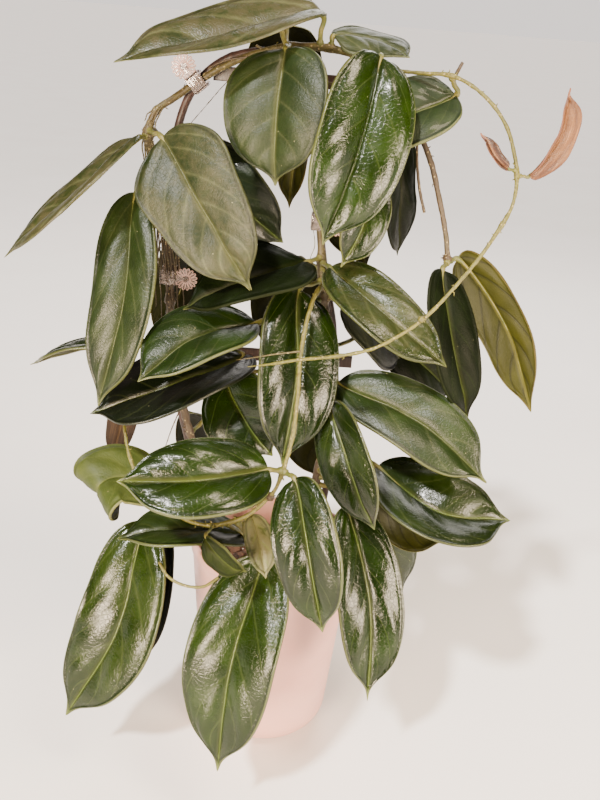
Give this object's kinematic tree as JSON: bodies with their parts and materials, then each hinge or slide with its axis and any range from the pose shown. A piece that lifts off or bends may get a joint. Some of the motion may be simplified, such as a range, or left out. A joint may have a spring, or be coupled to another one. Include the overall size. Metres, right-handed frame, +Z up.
{
  "type": "potted hoya plant",
  "caption": "Waxy-leaved hoya trained on a bent cane hoop with clear flower-shaped clips, standing in a round tapered pot.",
  "frame": {"origin": "centre of the pot's flat foot, where it rests", "axes": "+Z up, the pot's axis; the plant's front faces -Y"},
  "size_m": [0.3231, 0.22, 0.4827],
  "materials": {
    "pot": "pale pink satin glaze",
    "soil": "rough bark and peat mix",
    "cane": "dark stained cane",
    "clip": "clear moulded plastic",
    "stem": "green to tan bark with pale dots",
    "leaf": "waxy green upper side, olive underside",
    "bronze_leaf": "soft coppery new leaf",
    "dry_leaf": "dry brown old leaf"
  },
  "bodies": {
    "root": {"clip_left": "clip", "clip_right": "clip", "clip_top": "clip", "hoop": "cane", "leaf_back_foot": "leaf", "leaf_back_high": "leaf", "leaf_back_left": "leaf", "leaf_back_low": "leaf", "leaf_back_middle": "leaf", "leaf_back_right": "leaf", "leaf_behind_shoulder": "leaf", "leaf_bronze": "bronze_leaf", "leaf_bronze_small": "bronze_leaf", "leaf_crown_back": "leaf", "leaf_crown_dark": "leaf", "leaf_crown_far": "leaf", "leaf_crown_front": "leaf", "leaf_crown_left": "leaf", "leaf_crown_middle": "leaf", "leaf_crown_right": "leaf", "leaf_crown_small": "leaf", "leaf_curled": "leaf", "leaf_dry": "dry_leaf", "leaf_far_left": "leaf", "leaf_foot_front": "leaf", "leaf_foot_left": "leaf", "leaf_foot_right": "leaf", "leaf_foot_shade": "leaf", "leaf_front_left": "leaf", "leaf_front_right": "leaf", "leaf_left_dark": "leaf", "leaf_left_long": "leaf", "leaf_left_sliver": "leaf", "leaf_middle_left": "leaf", "leaf_middle_low": "leaf", "leaf_middle_right": "leaf", "leaf_middle_shade": "leaf", "leaf_middle_tall": "leaf", "leaf_middle_upper": "leaf", "leaf_right_back": "leaf", "leaf_right_dark": "leaf", "leaf_right_glossy": "leaf", "leaf_right_inner": "leaf", "leaf_right_low": "leaf", "leaf_right_pale": "leaf", "leaf_right_turned": "leaf", "leaf_right_wide": "leaf", "leaf_shoulder": "leaf", "leaf_under_left": "leaf", "leaf_young_front": "leaf", "leaf_young_under": "leaf", "pot": "pot", "slat_middle": "cane", "slat_top": "cane", "soil": "soil", "stem_left": "stem", "stem_right": "stem", "vine_front": "stem", "vine_hanging": "stem", "vine_runner": "stem"}
  },
  "joints": []
}
